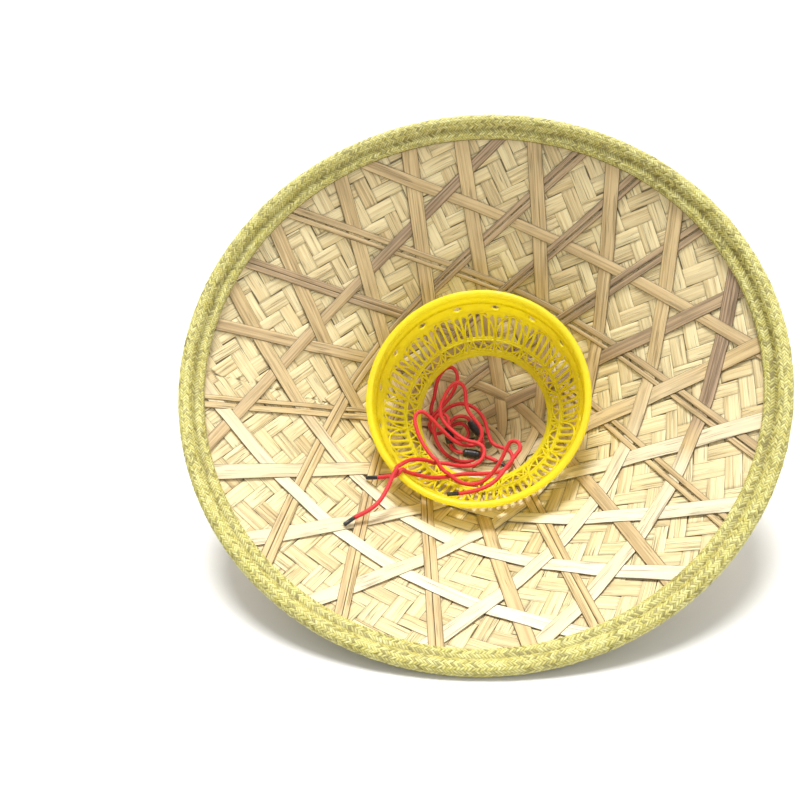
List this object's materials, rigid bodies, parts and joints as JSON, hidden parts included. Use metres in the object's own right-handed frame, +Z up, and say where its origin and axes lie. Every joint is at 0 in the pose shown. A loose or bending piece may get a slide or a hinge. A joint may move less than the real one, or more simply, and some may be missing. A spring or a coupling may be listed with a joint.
{
  "type": "woven bamboo cone hat",
  "caption": "Wide conical hat of woven bamboo splints with a braided straw rim, an open bamboo lattice inside and a yellow head ring, lying on its side.",
  "frame": {"origin": "on the floor below the middle of the hat's bounding box", "axes": "+Z up, the hat's opening faces -Y and up, its tip points to +Y and down to the floor"},
  "size_m": [0.4288, 0.3274, 0.2822],
  "materials": {
    "bamboo": "raw woven bamboo splints, dry satin",
    "splint": "raw bamboo splints, a little darker, dry",
    "braid": "braided straw, matt",
    "plastic": "moulded openwork, glossy and translucent",
    "cord": "round braided cord, soft",
    "black_plastic": "smooth, slightly glossy"
  },
  "bodies": {
    "root": {"woven_shell": "bamboo", "inner_lattice": "splint", "rim_band": "braid", "tip_cap": "braid", "head_ring": "plastic", "tie_cord_1": "cord", "tie_cord_2": "cord", "aglet_1a": "black_plastic", "aglet_1b": "black_plastic", "aglet_2a": "black_plastic", "aglet_2b": "black_plastic", "cord_lock_1": "black_plastic", "cord_lock_2": "black_plastic", "cord_lock_3": "black_plastic"}
  },
  "joints": []
}
